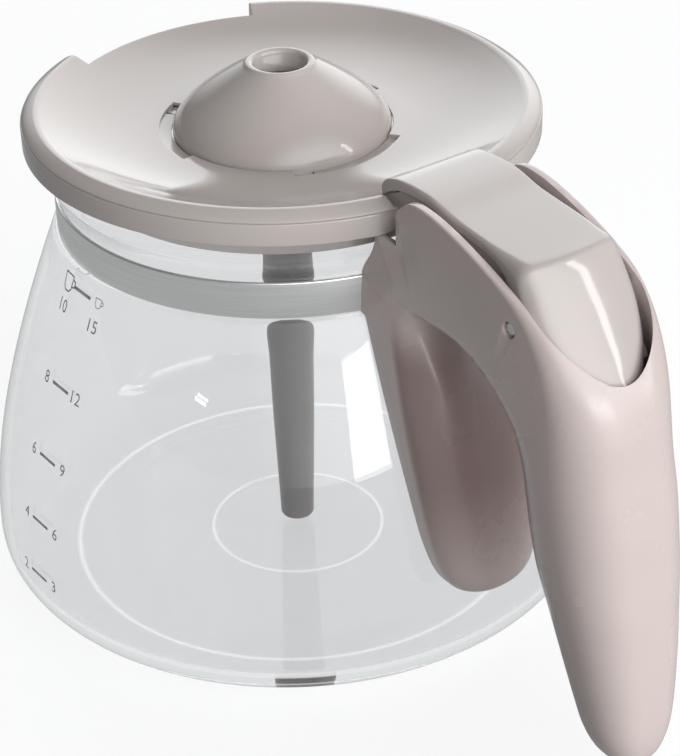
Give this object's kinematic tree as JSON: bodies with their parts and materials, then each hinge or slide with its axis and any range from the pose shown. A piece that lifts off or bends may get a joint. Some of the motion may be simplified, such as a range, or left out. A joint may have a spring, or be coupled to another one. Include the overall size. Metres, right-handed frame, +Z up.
{
  "type": "glass coffee server",
  "caption": "Flared glass coffee server with a neck band, a two-legged handle, a thumb-lever hinged lid and a twist-out drip dome with a centre tube.",
  "frame": {"origin": "centre of the glass foot's flat underside", "axes": "+Z is up along the jug's axis, +X points to the handle, the spout is at -X"},
  "size_m": [0.211, 0.153, 0.1329],
  "materials": {
    "glass": "clear",
    "band": "satin",
    "hardware": "satin",
    "handle_plastic": "gloss",
    "lid_plastic": "gloss",
    "tube_plastic": "satin"
  },
  "bodies": {
    "jug": {"glass_jug": "glass", "neck_band": "band", "strap_anchor": "hardware", "handle_body": "handle_plastic", "clamp_screw": "hardware", "clamp_washer": "hardware", "hinge_pin": "hardware"},
    "lid": {"lid_base": "lid_plastic", "lid_dish": "lid_plastic", "lever_cover": "lid_plastic"},
    "insert": {"dome_cap": "lid_plastic", "drip_tube": "tube_plastic"}
  },
  "joints": [
    {"name": "lid_hinge", "type": "hinge", "parent": "jug", "child": "lid", "pos_m": [0.1025, 0, 0.113], "axis": [0, 1, 0], "range_deg": [0, 50]},
    {"name": "dome_twist", "type": "hinge", "parent": "lid", "child": "insert", "pos_m": [0, 0, 0.117], "axis": [0, 0, 1], "range_deg": [-56, 0]}
  ]
}
